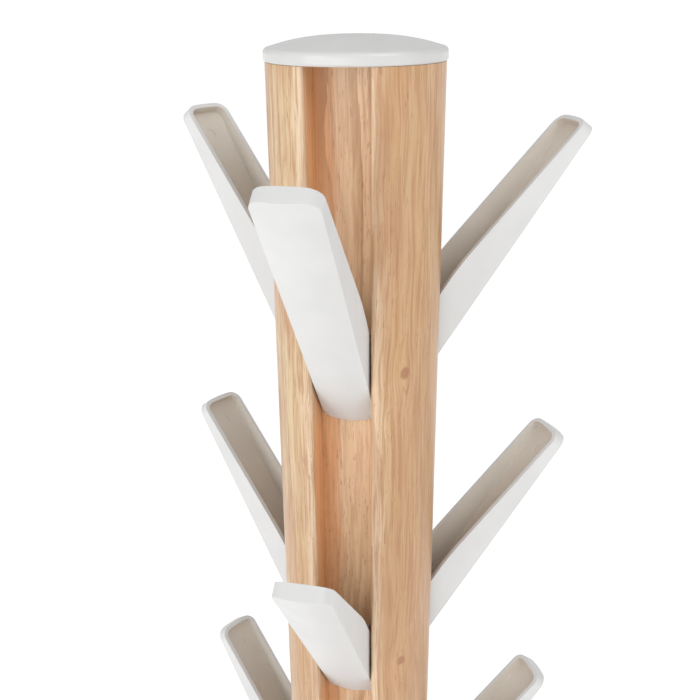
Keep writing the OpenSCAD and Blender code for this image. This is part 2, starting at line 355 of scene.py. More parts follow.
def fluteMasks(n, patch):
    # where a point lies in its flute: aside from the flute's middle, and out from the post's axis
    w = woodValues
    around = n.math("ADD", n.math("ARCTAN2", n.axis("Y"), n.axis("X")), math.pi / 2)
    around = n.math("WRAP", around, math.pi / 3, -math.pi / 3)
    depth = n.vector("LENGTH", n.vector("MULTIPLY", n.place, (1, 1, 0)))
    aside = n.math("MULTIPLY", depth, n.math("SINE", around))
    across = n.math("ABSOLUTE", aside)
    out = n.math("MULTIPLY", depth, n.math("COSINE", around))
    uneven = n.math("MULTIPLY", n.math("SUBTRACT", patch, 0.5), 0.006)
    deep = n.math("MULTIPLY", n.ramp(out, *w["floorOut"]), n.ramp(across, *w["floorAside"]))
    corner = n.ramp(n.math("ADD", aside, uneven), *w["cornerAside"])
    edge = n.ramp(n.math("ADD", across, uneven), *w["mouthAside"])
    return deep, corner, n.math("MULTIPLY", edge, n.ramp(out, *w["mouthOut"]))


def makeWood(name, shift, knots=(), tone=0.0):
    w = woodValues
    n = Nodes(name)
    place, knotMask = gatherGrain(n, knots)
    # the fibres wave from side to side
    sway = n.math("SUBTRACT", n.noise(n.stretch((0.5, 0.5, 1.0), shift, place), 26.0, 1.5), 0.5)
    place = n.vector("ADD", place, n.scaleBy((1.0, 0.7, 0.0), n.math("MULTIPLY", sway, w["sway"])))
    # slow wander of the grain across the board
    wander = n.noise(n.stretch((1, 1, 0.16), shift, place), 26.0, 2.0)
    wave = n.noise(n.stretch((1, 1, 0.30), shift, place), 90.0, 2.0)
    drift = n.math("MULTIPLY", n.math("SUBTRACT", wander, 0.5), w["drift"])
    ripple = n.math("MULTIPLY", n.math("SUBTRACT", wave, 0.5), w["ripple"])
    # growth rings round a pith that lies outside the post
    flat = n.vector("MULTIPLY", n.vector("SUBTRACT", place, w["pith"]), (1.0, 1.0, w["ringStretch"]))
    radius = n.math("ADD", n.vector("LENGTH", flat), n.math("ADD", drift, ripple))
    phase = n.math("FRACT", n.math("DIVIDE", radius, w["ringWidth"]))
    late = n.math("MULTIPLY", n.ramp(phase, 0.45, 0.97), n.ramp(phase, 0.97, 1.0, 1.0, 0.0))
    ringNoise = n.noise(n.stretch((1, 1, 0.25), (3, 1, 0), place), 30.0)
    ringStrength = n.ramp(ringNoise, 0.35, 0.72, 0.10, 0.80)
    # long fibres and short pores
    fibre = n.noise(n.stretch((1, 1, 0.026), shift, place), 900.0, 3.0, 0.6)
    streak = n.noise(n.stretch((1, 1, 0.034), shift, place), 330.0, 4.0, 0.62)
    line = n.noise(n.stretch((1, 1, 0.045), (shift[1], 2.0, shift[0]), place), 560.0, 2.0, 0.55)
    pores = n.noise(n.stretch((1, 1, 0.11), shift, place), 1500.0, 1.0)
    poreZone = n.ramp(n.noise(n.stretch((1, 1, 0.10), (7, 2, 1), place), 120.0, 2.0), 0.36, 0.62)
    poreDensity = n.math("ADD", n.math("MULTIPLY", poreZone, 0.75), 0.15)
    poreMask = n.math("MULTIPLY", n.ramp(pores, 0.635, 0.70), poreDensity)
    # the ground tone changes slowly across the board, and darkens from left to right as painted shade
    board = n.noise(n.stretch((1, 1, 0.07), (shift[0] + 2.0, shift[1], 5.0), place), 38.0, 1.5)
    board = n.math("ADD", board, n.math("MULTIPLY", n.axis("X"), w["shadeToRight"]))
    color = n.mix(n.ramp(n.math("ADD", board, tone), 0.36, 0.58), w["pale"], w["honey"])
    patch = n.noise(n.stretch((1, 1, 0.38), (1.0, shift[1] + 4.0, 9.0), place), 66.0, 3.0, 0.55)
    color = n.mix(n.ramp(patch, 0.46, 0.66, 0.0, 0.75), color, w["blush"])
    # the tone grows deeper and rosier on the post's right side further down the stand
    fadeFrom, fadeTo = woodTop - w["deeperFrom"], woodTop - w["deeperTo"]
    lower = n.ramp(n.axis("Z"), fadeFrom, fadeTo, 0.0, w["deeperBelow"])
    color = n.mix(n.math("MULTIPLY", lower, n.ramp(n.axis("X"), 0.008, 0.026)), color, w["rose"])
    # painted light on the flutes' floors, painted shade on one of their walls and corners, and a painted
    # highlight along their mouths
    deep, corner, edge = fluteMasks(n, patch)
    color = n.mix(n.math("MULTIPLY", deep, w["floorLightStrength"]), color, w["floorLightTone"])
    # painted shade on one wall and corner of each flute
    color = n.mix(n.math("MULTIPLY", n.math("MULTIPLY", deep, corner), w["cornerShadeStrength"]), color, w["cornerShadeTone"])
    # painted highlight along the flutes' mouths
    color = n.mix(n.math("MULTIPLY", edge, w["mouthHighlightStrength"]), color, w["mouthHighlight"])
    # rings, fibres and pores over the ground tone, fainter deep in a flute
    calm = n.math("SUBTRACT", 1.0, n.math("MULTIPLY", deep, 0.5))
    color = n.mix(n.math("MULTIPLY", late, ringStrength), color, w["ring"])
    color = n.mix(n.math("MULTIPLY", n.ramp(streak, 0.44, 0.68, 0.0, w["streaks"]), calm), color, w["rose"])
    color = n.mix(n.math("MULTIPLY", n.ramp(line, 0.53, 0.61, 0.0, w["lines"]), calm), color, w["ring"])
    color = n.mix(n.math("MULTIPLY", n.ramp(fibre, 0.47, 0.64, 0.0, w["fibres"]), calm), color, w["ring"])
    color = n.mix(n.ramp(fibre, 0.50, 0.26, 0.0, w["highlights"]), color, w["pale"])
    color = n.mix(n.math("MULTIPLY", poreMask, w["pores"]), color, w["pore"])
    color = n.mix(n.math("MULTIPLY", knotMask, w["knots"]), color, w["knot"])
    rough = n.math("ADD", w["roughness"], n.math("MULTIPLY", n.math("SUBTRACT", streak, 0.5), 0.16))
    height = n.math("SUBTRACT", n.math("MULTIPLY", fibre, 0.35), n.math("MULTIPLY", poreMask, 0.9))
    n.bump(height, w["bumpStrength"], w["bumpDepth"])
    return n.finish(color, rough, Coat_Weight=w["coat"], Coat_Roughness=0.3, Specular_IOR_Level=0.42)


finishValues = {
    "hook": ((0.69, 0.69, 0.685), 0.47),  # colour and roughness
    # the trough: painted bounce light from the wood warms its colour, and its finish is duller
    "hookInsideBounceTint": ((0.73, 0.685, 0.62), 0.52),
    "cap": ((0.63, 0.63, 0.622), 0.34),
    "plug": ((0.66, 0.66, 0.66), 0.42),
    "bracket": ((0.42, 0.41, 0.39), 0.55),
    "zinc": ((0.62, 0.62, 0.63), 0.24),
    "brass": ((0.78, 0.55, 0.22), 0.26),
    "base": (0.82, 0.82, 0.81),
    "rubber": (0.018, 0.018, 0.019),
    "dust": (0.060, 0.057, 0.052),
    "grain": 0.10,  # how far a moulding's fine texture changes its roughness
    "capCoat": 0.35,
    "bracketBump": 0.0001,
}


def makeMoulding(name, color, roughness, bumpSize=0.00006, coat=0.0):
    # satin moulded plastic: a fine spark-eroded texture, a slow change of tone and faint handling marks
    grain = finishValues["grain"]
    n = Nodes(name)
    slow = n.noise(n.place, 34.0, 3.0)
    fine = n.noise(n.place, 2300.0, 2.0, 0.6)
    swirl = n.noise(n.stretch((1, 1, 0.4)), 150.0, 3.0)
    darker = tuple(c * 0.945 for c in color)
    warmer = (color[0] * 0.985, color[1] * 0.965, color[2] * 0.93)
    tone = n.mix(n.ramp(slow, 0.30, 0.70), color, darker)
    tone = n.mix(n.ramp(swirl, 0.55, 0.85, 0.0, 0.35), tone, warmer)
    rough = n.math("ADD", roughness - grain / 2, n.math("MULTIPLY", fine, grain))
    rough = n.math("ADD", rough, n.ramp(swirl, 0.40, 0.75, -0.03, 0.04))
    n.bump(fine, 0.22, bumpSize)
    return n.finish(tone, rough, Coat_Weight=coat, Coat_Roughness=0.2, Specular_IOR_Level=0.45)


def makePowderCoat(name, color):
    # orange peel with small pits
    n = Nodes(name)
    peel = n.noise(n.place, 420.0, 3.0, 0.55)
    pits = n.noise(n.place, 1700.0, 2.0)
    slow = n.noise(n.place, 9.0, 3.0)
    tone = n.mix(n.ramp(slow, 0.3, 0.7), color, tuple(c * 0.93 for c in color))
    tone = n.mix(n.ramp(pits, 0.66, 0.80, 0.0, 0.25), tone, tuple(c * 0.82 for c in color))
    height = n.math("ADD", peel, n.math("MULTIPLY", pits, 0.35))
    n.bump(height, 0.35, 0.00012)
    return n.finish(tone, n.ramp(peel, 0.3, 0.7, 0.38, 0.52), Specular_IOR_Level=0.5)


def makeMetal(name, color, roughness, stretchBy):
    # fine brushing along or round the piece
    n = Nodes(name)
    brush = n.noise(n.stretch(stretchBy), 900.0, 3.0)
    patch = n.noise(n.place, 70.0, 3.0)
    tone = n.mix(n.ramp(patch, 0.35, 0.75), color, tuple(c * 0.84 for c in color))
    n.bump(brush, 0.20, 0.00005)
    return n.finish(tone, n.ramp(brush, 0.25, 0.75, roughness, roughness + 0.16), Metallic=1.0)


def makeRubber(name):
    # black rubber with some dust on it
    n = Nodes(name)
    grit = n.noise(n.place, 1500.0, 3.0)
    dust = n.noise(n.place, 60.0, 3.0)
    tone = n.mix(n.ramp(dust, 0.45, 0.8, 0.0, 0.5), finishValues["rubber"], finishValues["dust"])
    n.bump(grit, 0.4, 0.00015)
    return n.finish(tone, n.ramp(grit, 0.3, 0.7, 0.68, 0.86), Specular_IOR_Level=0.3)


woodUpper = makeWood("lacqueredWoodUpper", (0.0, 0.0, 0.0), woodValues["pinKnots"])
woodMiddle = makeWood("lacqueredWoodMiddle", (4.1, 1.7, 3.0), (), 0.03)
woodLower = makeWood("lacqueredWoodLower", (9.3, 5.2, 8.0), (), -0.02)
dowelWood = makeWood("beechDowel", (2.0, 8.0, 1.0), (), 0.05)
hookPlastic = makeMoulding("hookPlastic", *finishValues["hook"])
hookInsideBounceTint = makeMoulding("hookInsideBounceTint", *finishValues["hookInsideBounceTint"])
capPlastic = makeMoulding("capPlastic", *finishValues["cap"], coat=finishValues["capCoat"])
plugPlastic = makeMoulding("plugPlastic", *finishValues["plug"])
bracketPlastic = makeMoulding("bracketPlastic", *finishValues["bracket"], finishValues["bracketBump"])
baseCoat = makePowderCoat("basePowderCoat", finishValues["base"])
platedSteel = makeMetal("zincPlate", *finishValues["zinc"], (1, 1, 0.15))
insertBrass = makeMetal("turnedBrass", *finishValues["brass"], (1, 1, 3))
footRubber = makeRubber("footRubber")
print("materials made")

postValues = {
    "fluteWidth": 0.028,
    "fluteDepth": 0.0215,
    "mouthRadius": 0.0016,
    "endSoftness": 0.0003,
    "boreRadius": 0.008,
    "boreDepth": 0.021,
    "spigotRadius": 0.0136,
    "spigotDepth": 0.0112,
    "mouthSteps": 8,
    "faceSteps": 44,
    "holeSides": 48,
}


def drawPostOutline(name, z):
    # three flutes with rounded mouths, and the round faces between them
    p = postValues
    half = p["fluteWidth"] / 2
    floor = postRadius - p["fluteDepth"]
    edgeY = half + p["mouthRadius"]
    edgeX = math.sqrt((postRadius - p["mouthRadius"]) ** 2 - edgeY**2)
    lean = math.degrees(math.atan2(edgeY, edgeX))

    def local(x, y, turn):
        return Matrix.Rotation(math.radians(turn), 3, "Z") @ Vector((x, y, 0))

    piece = startLine(name, local(floor, -half, -90) + Vector((0, 0, z)))
    for flute in range(3):
        turn = 120 * flute - 90
        lineBy(*local(0, 2 * half, turn))
        lineBy(*local(edgeX - floor, 0, turn))
        arcBy(local(edgeX, edgeY, turn) + Vector((0, 0, z)), (0, 0, 1), 90 + lean, p["mouthSteps"])
        arcBy((0, 0, z), (0, 0, 1), 120 - 2 * lean, p["faceSteps"])
        arcBy(local(edgeX, -edgeY, turn + 120) + Vector((0, 0, z)), (0, 0, 1), 90 + lean, p["mouthSteps"])
        lineBy(*local(floor - edgeX, 0, turn + 120))
    bpy.ops.mesh.select_all(action="SELECT")
    bpy.ops.mesh.remove_doubles(threshold=mergeDistance)
    bpy.ops.mesh.edge_face_add()
    return piece


def drillHole(piece, radius, place, depth, turn=(0, 0, 0)):
    # depth is the drill's whole length, and place is its middle
    leaveAll()
    bpy.ops.mesh.primitive_cylinder_add(
        vertices=postValues["holeSides"], radius=radius, depth=depth, location=place, rotation=turn
    )
    cutter = bpy.context.active_object
    bpy.ops.object.transform_apply(location=True, rotation=True)
    carve(piece, cutter)


def makePostSection(node, material, topBore, topDepth):
    low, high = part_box(node)
    p = postValues
    piece = drawPostOutline("modelled_" + node, low.z)
    bpy.ops.mesh.extrude_region_move(TRANSFORM_OT_translate={"value": (0, 0, high.z - low.z)})
    bpy.ops.mesh.select_all(action="SELECT")
    bpy.ops.mesh.normals_make_consistent(inside=False)
    pickEdges(isEndEdge)
    soften(p["endSoftness"], 2)
    drillHole(piece, p["boreRadius"], (0, 0, low.z), 2 * p["boreDepth"])
    drillHole(piece, topBore, (0, 0, high.z), 2 * topDepth)
    smoothPiece(piece, 30)
    settle(piece, [material], "stand", node)


def isEndEdge(edge):
    # between a level face and one that isn't
    flat = [abs(face.normal.z) > 0.9 for face in edge.link_faces]
    return flat[0] != flat[1]


makePostSection("post_upper", woodUpper, postValues["spigotRadius"], postValues["spigotDepth"])
makePostSection("post_middle", woodMiddle, postValues["boreRadius"], postValues["boreDepth"])
makePostSection("post_lower", woodLower, postValues["boreRadius"], postValues["boreDepth"])
print("post sections made")

hookValues = {
    "length": 0.1646,
    "tail": 0.029,
    "width": 0.026,
    "wall": 0.0023,
    "pivotDepth": 0.0101,
    "openAngle": 38.0,
    "tipDepth": 0.0078,
    "shoulder": 0.0447,
    "rimGap": 0.001,
    "heelGap": 0.0003,
    "tipCorner": 0.0065,
    "tipEnd": 0.080,
    "tailCorner": 0.006,
    "strips": 16,
    "cornerSteps": 9,
    "endSteps": 8,
    "tailSteps": 8,
    "kinkHeight": 0.02,  # the shoulder's bend is above this, and the heel's below
    "heelReach": 0.015,  # the heel's bend is less than this below the pivot
    "tailBand": 0.0042,  # points of the trough this near its tail wall move with it
    "floorBand": 0.0022,  # the trough's floor is less than this behind the inner crown's top
    "pickSlack": 0.0001,  # room for rounding where points and faces are picked
    "shoulderSoftness": 0.009,
    "heelSoftness": 0.0025,
    "edgeSoftness": 0.0016,
    "rimSoftness": 0.0005,
    "troughFillet": 0.0012,
    "ejectorRadius": 0.00275,
    "ejectorDepth": 0.00016,
    "ejectorFromTip": 0.0150,
    "ejectorDrill": 0.004,
    "pinRadius": 0.002,
    "pinDrill": 0.04,
    "rimBand": 0.003,  # faces of the open side further behind the inner crown are the rim
}


def crownFace(x, radius, axisX):
    # bends the flat face at x, strip by strip, onto a cylinder that runs along Z
    mesh = bpy.context.object.data
    bpy.ops.object.mode_set(mode="OBJECT")
    across = sorted({round(abs(v.co.y), 5) for v in mesh.vertices if abs(v.co.x - x) < 1e-5})
    bpy.ops.object.mode_set(mode="EDIT")
    for y in across:
        pickPoints(lambda p: abs(p.x - x) < 1e-5 and abs(abs(p.y) - y) < 1e-5)
        bpy.ops.transform.translate(value=(axisX + math.sqrt(radius**2 - y**2) - x, 0, 0))


def makeFirstHook():
    # drawn folded, pivot at the origin: X out from the post, Y across the flute, Z up
    h = hookValues
    half = h["width"] / 2
    tip = h["length"] - h["tail"]
    out = h["pivotDepth"]
    axisX = out - postRadius
    inner = postRadius - h["wall"]
    floorX = out - postValues["fluteDepth"]
    rimX = floorX + h["rimGap"]
    lean = math.radians(h["openAngle"])
    heelX = floorX + h["heelGap"]
    heelTailX = (heelX + h["tail"] * math.sin(lean)) / math.cos(lean)
    heelZ = (heelX - rimX * math.cos(lean)) / math.sin(lean)
    r0, r1, endR = h["tailCorner"], h["tipCorner"], h["tipEnd"]
    cornerZ = tip - endR + math.sqrt((endR - r1) ** 2 - (half - r1) ** 2)
    endLean = math.degrees(math.asin((half - r1) / (endR - r1)))

    # outline of the outer face, then its thickness
    piece = startLine("hookBlank", (out, -half, r0 - h["tail"]))
    lineBy(0, 0, cornerZ + h["tail"] - r0)
    arcBy((out, r1 - half, cornerZ), (1, 0, 0), endLean - 90, h["cornerSteps"])
    arcBy((out, 0, tip - endR), (1, 0, 0), -2 * endLean, h["endSteps"])
    arcBy((out, half - r1, cornerZ), (1, 0, 0), endLean - 90, h["cornerSteps"])
    lineBy(0, 0, r0 - h["tail"] - cornerZ)
    arcBy((out, half - r0, r0 - h["tail"]), (1, 0, 0), -90, h["tailSteps"])
    lineBy(0, 2 * (r0 - half), 0)
    arcBy((out, r0 - half, r0 - h["tail"]), (1, 0, 0), -90, h["tailSteps"])
    bpy.ops.mesh.select_all(action="SELECT")
    bpy.ops.mesh.remove_doubles(threshold=mergeDistance)
    bpy.ops.mesh.edge_face_add()
    bpy.ops.mesh.extrude_region_move(TRANSFORM_OT_translate={"value": (rimX - out, 0, 0)})
    bpy.ops.mesh.select_all(action="SELECT")
    bpy.ops.mesh.normals_make_consistent(inside=False)

    # taper towards the tip, and the slanted heel
    taper = Vector((out - h["tipDepth"] - rimX, 0, tip - h["shoulder"]))
    cutPlane((rimX, 0, h["shoulder"]), (-taper.z, 0, taper.x), True)
    heel = Vector((heelTailX - rimX, 0, -h["tail"] - heelZ))
    cutPlane((rimX, 0, heelZ), (heel.z, 0, -heel.x), True)

    # the trough, with its far wall at the tail made as thick as the others
    pickFaces(lambda f: f.normal.x < -0.5)
    bpy.ops.mesh.inset(thickness=h["wall"], depth=0, use_even_offset=True, use_boundary=True)
    thin = h["wall"] * (1 - abs(heel.normalized().z))
    bpy.ops.mesh.extrude_region_move(TRANSFORM_OT_translate={"value": (0, 0, 0)})
    bpy.ops.transform.resize(value=(0, 1, 1), center_override=(out - h["wall"], 0, 0))
    tailWall = -h["tail"] + h["wall"] - thin
    slack = h["pickSlack"]
    pickPoints(lambda p: -slack < p.z - tailWall < h["tailBand"] and abs(p.y) < half - h["wall"] + slack)
    bpy.ops.transform.translate(value=(0, 0, thin))

    # softer bends in the side walls' edge
    def isKink(edge):
        # between two faces of the open side that lean differently
        first, second = (face.normal for face in edge.link_faces)
        bothBack = first.x < -0.5 and second.x < -0.5
        runsAcross = abs(edge.verts[0].co.y - edge.verts[1].co.y) > 0.001
        return bothBack and runsAcross and first.angle(second) > 0.02

    pickEdges(lambda e: isKink(e) and e.verts[0].co.z > h["kinkHeight"])
    soften(h["shoulderSoftness"], 6)
    pickEdges(lambda e: isKink(e) and -h["heelReach"] < e.verts[0].co.z < h["kinkHeight"])
    soften(h["heelSoftness"], 4)

    # strips along the hook, bent to the post's roundness outside and inside
    for strip in range(1, h["strips"]):
        cutPlane((0, h["width"] * strip / h["strips"] - half, 0), (0, 1, 0), False)
    crownFace(out, postRadius, axisX)
    crownFace(out - h["wall"], inner, axisX)

    def meetsSide(edge, test):
        # whether the edge lies between a face that passes the test and a side wall
        first, second = edge.link_faces
        return (test(first) and isSide(second)) or (test(second) and isSide(first))

    floorEdge = out - h["wall"] - h["floorBand"]

    def isFloor(face):
        return face.normal.x < -0.8 and face.calc_center_median().x > floorEdge

    def isFloorEdge(edge):
        return meetsSide(edge, isFloor) and min(v.co.x for v in edge.verts) > floorEdge and isInTrough(edge)

    pickEdges(lambda e: meetsSide(e, lambda f: f.normal.x > 0.8))
    soften(h["edgeSoftness"], 4)
    pickEdges(isFloorEdge)
    soften(h["troughFillet"], 3)
    pickEdges(lambda e: meetsSide(e, lambda f: f.normal.x < -0.5) and not isInTrough(e))
    soften(h["rimSoftness"], 2)
    leaveAll()
    piece.data.materials.append(hookPlastic)
    return piece, tip


def isSide(face):
    return abs(face.normal.x) < 0.4


def isInTrough(edge):
    # an inside corner: the middle of one face stands in front of the other face
    first, second = edge.link_faces
    return (second.calc_center_median() - first.calc_center_median()).dot(first.normal) > 1e-6


def isInHook(face):
    # whether a face of the first hook lies inside its trough
    h = hookValues
    place = face.calc_center_median()
    reach = math.hypot(place.x - h["pivotDepth"] + postRadius, place.y)
    slack = h["pickSlack"]
    onRim = face.normal.x < -0.5 and place.x < h["pivotDepth"] - h["wall"] - h["rimBand"]
    between = h["wall"] < place.z + h["tail"] < h["length"] - h["wall"] + 2 * slack
    beside = abs(place.y) < h["width"] / 2 - h["wall"] + 2 * slack
    return between and beside and not onRim and reach < postRadius - h["wall"] + 3 * slack


def makeHooks():
    h = hookValues
    first, tip = makeFirstHook()
    markX = h["pivotDepth"] - h["wall"] + h["ejectorDepth"] - h["ejectorDrill"] / 2
    markPlace = (markX, 0, tip - h["ejectorFromTip"])
    drillHole(first, h["ejectorRadius"], markPlace, h["ejectorDrill"], (0, math.pi / 2, 0))
    drillHole(first, h["pinRadius"], (0, 0, 0), h["pinDrill"], (math.pi / 2, 0, 0))
    leaveAll()
    bpy.context.view_layer.objects.active = first
    bpy.ops.object.mode_set(mode="EDIT")
    pickFaces(isInHook)  # the trough's colour is warmed with painted bounce light from the wood, and its finish is duller than the outside
    first.data.materials.append(hookInsideBounceTint)
    first.active_material_index = len(first.data.materials) - 1
    bpy.ops.object.material_slot_assign()
    smoothPiece(first, 35)
    for joint in frame["joints"]:
        across = -Vector(joint["axis"])
        outward = across.cross(Vector((0, 0, 1)))
        place = Matrix((outward, across, (0, 0, 1))).transposed().to_4x4()
        place.translation = Vector(joint["pos_m"])
        hook = first.copy()
        hook.data = first.data.copy()
        hook.name = hook.data.name = "moulded_" + joint["child"]
        bpy.context.scene.collection.objects.link(hook)
        tilt = joint["range_deg"][1]  # a hook folds upright from the tilt that it is drawn at
        hook.data.transform(place @ Matrix.Rotation(math.radians(tilt), 4, "Y"))
        settle(hook, [hookPlastic, hookInsideBounceTint], joint["child"], joint["child"])
    bpy.data.objects.remove(first)


makeHooks()
print("hooks made")

capValues = {
    "radius": 0.0407,
    "rimHeight": 0.006,
    "rimSoftness": 0.0012,
    "shoulder": 0.0024,
    "domeHeight": 0.0048,
    "fullness": 2.6,
    "spigotRadius": 0.0135,
    "spigotLength": 0.009,
    "spigotFloor": 0.004,
    "screwRadius": 0.0025,
    "plugRadius": 0.008,
    "plugGap": 0.00015,
    "plugThickness": 0.0018,
    "plugLedge": 0.0015,
    "plugSoftness": 0.00035,
    "holeSoftness": 0.0003,
    "spigotChamfer": 0.0008,
    "turns": 160,
    "plugTurns": 96,
    "domeSteps": 20,
    "plugSteps": 8,
}


def domeHeightAt(r):
    c = capValues
    domeEdge = c["radius"] - c["shoulder"]
    return c["rimHeight"] + c["domeHeight"] * (1 - (r / domeEdge) ** c["fullness"])


def arcPoints(x, z, radius, fromAngle, toAngle, steps):
    angles = [math.radians(fromAngle + (toAngle - fromAngle) * i / steps) for i in range(steps + 1)]
    return [(x + radius * math.cos(a), z + radius * math.sin(a)) for a in angles]


def makeRevolved(name, z, profile, steps):
    # a profile of (radius, height) points, drawn as a closed line and spun about the post's axis
    piece = startLine(name, (profile[0][0], 0, z + profile[0][1]))
    for (r0, z0), (r1, z1) in zip(profile, profile[1:]):
        lineBy(r1 - r0, 0, z1 - z0)
    if profile[0][0] > 0:
        lineBy(profile[0][0] - profile[-1][0], 0, profile[0][1] - profile[-1][1])
    revolve(steps)
    leaveAll()
    return piece


def makeCap():
    c = capValues
    domeEdge = c["radius"] - c["shoulder"]
    seat = domeHeightAt(0) - c["plugThickness"]
    hole = c["plugRadius"] + c["plugGap"]
    low = -c["spigotLength"]
    steps = c["domeSteps"]
    domeInner = hole + c["holeSoftness"]
    across = [domeEdge + (domeInner - domeEdge) * i / steps for i in range(1, steps + 1)]
    profile = [
        (c["spigotRadius"], 0.0),
        *arcPoints(c["radius"] - c["rimSoftness"], c["rimSoftness"], c["rimSoftness"], -90, 0, 5),
        *arcPoints(domeEdge, c["rimHeight"] - c["shoulder"], c["shoulder"], 0, 72, 8),
        *[(r, domeHeightAt(r)) for r in across],
        (hole, domeHeightAt(hole) - c["holeSoftness"]),
        (hole, seat),
        (c["plugRadius"] - c["plugLedge"], seat),
        (c["plugRadius"] - c["plugLedge"], low + c["spigotFloor"]),
        (2 * c["screwRadius"], low + c["spigotFloor"]),
        (c["screwRadius"], low + c["spigotFloor"] - c["screwRadius"]),
        (c["screwRadius"], low),
        (c["spigotRadius"] - c["spigotChamfer"], low),
        (c["spigotRadius"], low + c["spigotChamfer"]),
    ]
    cap = makeRevolved("moulded_top_cap", woodTop, profile, c["turns"])
    smoothPiece(cap, 32)
    settle(cap, [capPlastic], "stand", "top_cap")

    r = c["plugRadius"]
    soft = c["plugSoftness"]
    steps = c["plugSteps"]
    top = [(x, domeHeightAt(x)) for x in ((r - soft) * (1 - i / steps) for i in range(steps + 1))]
    side = [(0.0, seat), (r - soft, seat), (r, seat + soft), (r, domeHeightAt(r) - soft)]
    plug = makeRevolved("moulded_cap_plug", woodTop, side + top, c["plugTurns"])
    smoothPiece(plug, 32)
    settle(plug, [plugPlastic], "stand", "cap_plug")


makeCap()
print("cap made")

baseValues = {
    "radius": -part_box("base_plate")[0].x,
    "edgeRadius": 0.003,
    "edgeTop": 0.009,
    "under": 0.003,
    "underSoftness": 0.001,
    "top": 0.025,
    "bossRadius": 0.052,
    "shell": 0.005,
    "ringInner": 0.170,
    "boltSeat": 0.015,
    "washerHole": 0.018,
    "boltHole": 0.0055,
    "turns": 192,
    "footRadius": 0.009,
    "footHeight": 0.004,
    "footSoftness": 0.0012,
    "footCircle": 0.185,
    "footCount": 6,
    "footRim": 0.35,  # of the foot's radius, round its hollow
    "footHollow": 0.3,  # of the foot's height
    "footGap": 0.00002,
    "footRecess": 0.002,
    "domeSteps": 20,
}


def baseHeightAt(r):
    b = baseValues
    reach = b["radius"] - b["edgeRadius"] - b["bossRadius"]
    drop = b["top"] - b["edgeTop"] - b["edgeRadius"]
    return b["top"] - drop * (max(r - b["bossRadius"], 0) / reach) ** 2


def makeBase():
    b = baseValues
    edge = b["radius"] - b["edgeRadius"]
    soft = b["underSoftness"]
    steps = b["domeSteps"]
    across = [edge + (b["bossRadius"] - edge) * i / steps for i in range(1, steps + 1)]
    inside = [b["bossRadius"] + (b["ringInner"] - b["bossRadius"]) * i / steps for i in range(steps + 1)]
    profile = [
        (b["boltHole"], b["boltSeat"]),
        (b["washerHole"], b["boltSeat"]),
        (b["washerHole"], b["under"]),
        (b["bossRadius"] - soft, b["under"]),
        (b["bossRadius"], b["under"] + soft),
        *[(r, baseHeightAt(r) - b["shell"]) for r in inside],
        (b["ringInner"], b["under"] + soft),
        (b["ringInner"] + soft, b["under"]),
        *arcPoints(b["radius"] - soft, b["under"] + soft, soft, -90, 0, 4),
        *arcPoints(edge, b["edgeTop"], b["edgeRadius"], 0, 84, 7),
        *[(r, baseHeightAt(r)) for r in across],
        (b["boltHole"], b["top"]),
    ]
    plate = makeRevolved("cast_base_plate", 0, profile, b["turns"])
    for i in range(b["footCount"]):
        turn = math.tau * i / b["footCount"]
        place = (b["footCircle"] * math.cos(turn), b["footCircle"] * math.sin(turn), b["under"])
        drillHole(plate, b["footRadius"] + b["footGap"], place, b["footRecess"])
    smoothPiece(plate, 32)
    settle(plate, [baseCoat], "stand", "base_plate")


def makeFeet():
    # one foot with a hollow underside, and its copies round the base, joined
    b = baseValues
    leaveAll()
    r, high = b["footRadius"], b["footHeight"]
    bpy.ops.mesh.primitive_cylinder_add(
        vertices=postValues["holeSides"], radius=r, depth=high, location=(b["footCircle"], 0, high / 2)
    )
    foot = bpy.context.active_object
    bpy.ops.object.transform_apply(location=True)
    bpy.ops.object.mode_set(mode="EDIT")
    pickFaces(lambda f: f.normal.z < -0.9)
    bpy.ops.mesh.inset(thickness=b["footRim"] * r)
    bpy.ops.mesh.extrude_region_move(TRANSFORM_OT_translate={"value": (0, 0, b["footHollow"] * high)})
    pickEdges(lambda e: isEndEdge(e) and max(v.co.z for v in e.verts) < 0.0001)
    soften(b["footSoftness"] / 2, 3)
    leaveAll()
    copies = [foot.copy() for i in range(1, b["footCount"])]
    for i, copy in enumerate(copies, 1):
        copy.data = foot.data.copy()
        copy.data.transform(Matrix.Rotation(math.tau * i / b["footCount"], 4, "Z"))
        bpy.context.scene.collection.objects.link(copy)
        copy.select_set(True)
    foot.select_set(True)
    bpy.context.view_layer.objects.active = foot
    bpy.ops.object.join()
    foot.name = foot.data.name = "moulded_base_feet"
    smoothPiece(foot, 35)
    settle(foot, [footRubber], "stand", "base_feet")


makeBase()
makeFeet()
print("base made")


hardwareValues = {
    "bracketEdge": 0.0004,
    "pinEdge": 0.0003,
    "boltEdge": 0.0006,
    "washerEdge": 0.0003,
    "edgeSteps": 2,
    "edgeAngle": 40,
    "mergeDistance": 0.000005,
}


def refineNode(node, material, body, width):
    # a merged copy of a CAD node with softened edges stands in for it
    source = bpy.data.objects[node]
    piece = source.copy()
    piece.data = source.data.copy()
    piece.parent = None
    piece.name = piece.data.name = "finished_" + node
    bpy.context.scene.collection.objects.link(piece)
    leaveAll()
    piece.select_set(True)
    bpy.context.view_layer.objects.active = piece
    bpy.ops.object.mode_set(mode="EDIT")
    bpy.ops.mesh.select_all(action="SELECT")
    bpy.ops.mesh.remove_doubles(threshold=hardwareValues["mergeDistance"])
    bpy.ops.mesh.dissolve_limited(angle_limit=math.radians(1))
    applyModifier(
        piece,
        "BEVEL",
        width=width,
        segments=hardwareValues["edgeSteps"],
        limit_method="ANGLE",
        angle_limit=math.radians(hardwareValues["edgeAngle"]),
    )
    smoothPiece(piece, 35)
    piece.data.materials.clear()
    settle(piece, [material], body, node)


